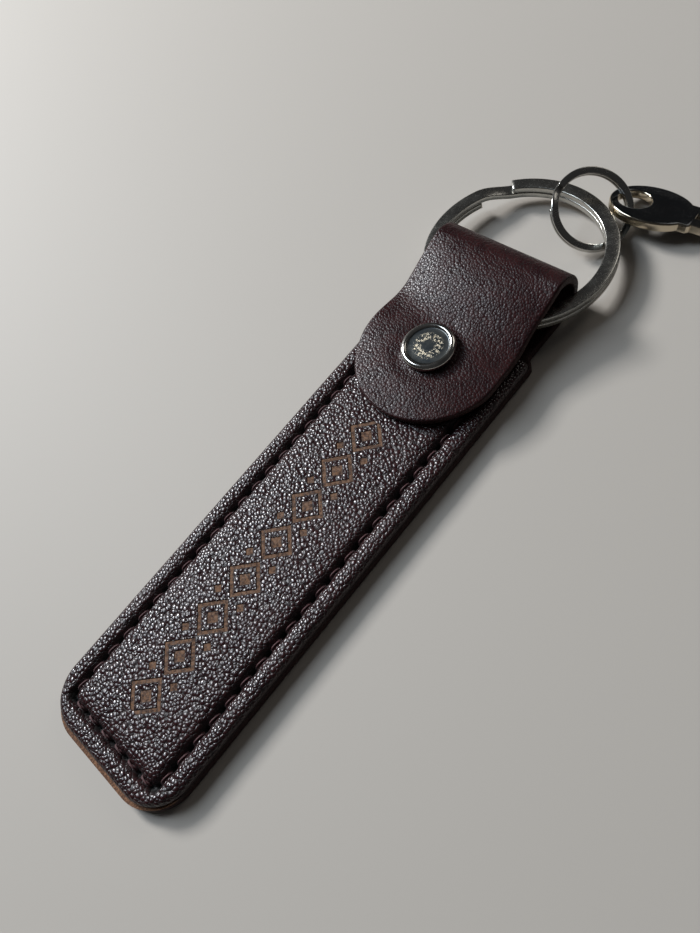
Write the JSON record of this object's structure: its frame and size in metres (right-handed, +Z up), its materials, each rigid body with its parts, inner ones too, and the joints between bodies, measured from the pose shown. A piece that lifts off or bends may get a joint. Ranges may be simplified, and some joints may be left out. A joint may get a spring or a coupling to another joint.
{
  "type": "leather key fob",
  "caption": "Padded leather key fob: stitched body, a strap looped through a split ring and closed with a snap, and a small split ring carrying a key.",
  "frame": {"origin": "middle of the leather's flat back face, half way between the rounded end and the outside of the fold, on the surface it lies on", "axes": "+Y along the leather towards the fold and the rings, +Z up from the back face to the snap's cap, +X across the leather to the side the key's blade points to"},
  "size_m": [0.0554, 0.1271, 0.0094],
  "materials": {
    "strip_leather": "smooth grain, oxblood cut edges",
    "fibre_board": "raw tan fibre board, seen only at the edge",
    "foam": "soft open foam",
    "front_leather": "semi-gloss pebbled grain",
    "needle_thread": "waxed twisted thread",
    "bobbin_thread": "waxed twisted thread",
    "rivet_metal": "satin nickel",
    "stud_metal": "satin nickel",
    "flap_leather": "semi-gloss fine grain",
    "cap_metal": "worn antique nickel",
    "socket_metal": "satin nickel",
    "spring_wire": "bright spring wire",
    "big_ring_metal": "worn satin nickel",
    "small_ring_metal": "polished nickel",
    "key_metal": "polished nickel with worn edges"
  },
  "bodies": {
    "fob": {"back_leather": "strip_leather", "fibre_board": "fibre_board", "foam_pad": "foam", "front_leather": "front_leather", "needle_stitches": "needle_thread", "bobbin_stitches": "bobbin_thread", "back_rivet": "rivet_metal", "snap_stud": "stud_metal"},
    "flap": {"flap_leather": "flap_leather", "snap_cap": "cap_metal", "snap_socket": "socket_metal", "socket_spring": "spring_wire"},
    "big_ring": {"big_split_ring": "big_ring_metal"},
    "small_ring": {"small_split_ring": "small_ring_metal"},
    "key": {"key": "key_metal"}
  },
  "joints": [
    {"name": "flap_hinge", "type": "hinge", "parent": "fob", "child": "flap", "pos_m": [0, 0.051, 0.0047], "axis": [-1, 0, 0], "range_deg": [0, 100]},
    {"name": "ring_tilt", "type": "hinge", "parent": "fob", "child": "big_ring", "pos_m": [0, 0.0463, 0.0042], "axis": [1, 0, 0], "range_deg": [0, 9]},
    {"name": "small_ring_travel", "type": "hinge", "parent": "big_ring", "child": "small_ring", "pos_m": [-0.0006, 0.05258, 0.00365], "axis": [0, 0.0523, 0.9986], "range_deg": [-15, 55]},
    {"name": "key_travel", "type": "hinge", "parent": "small_ring", "child": "key", "pos_m": [0.00521, 0.06483, 0.00439], "axis": [0.5235, -0.1501, 0.8387], "range_deg": [0, 75]}
  ]
}
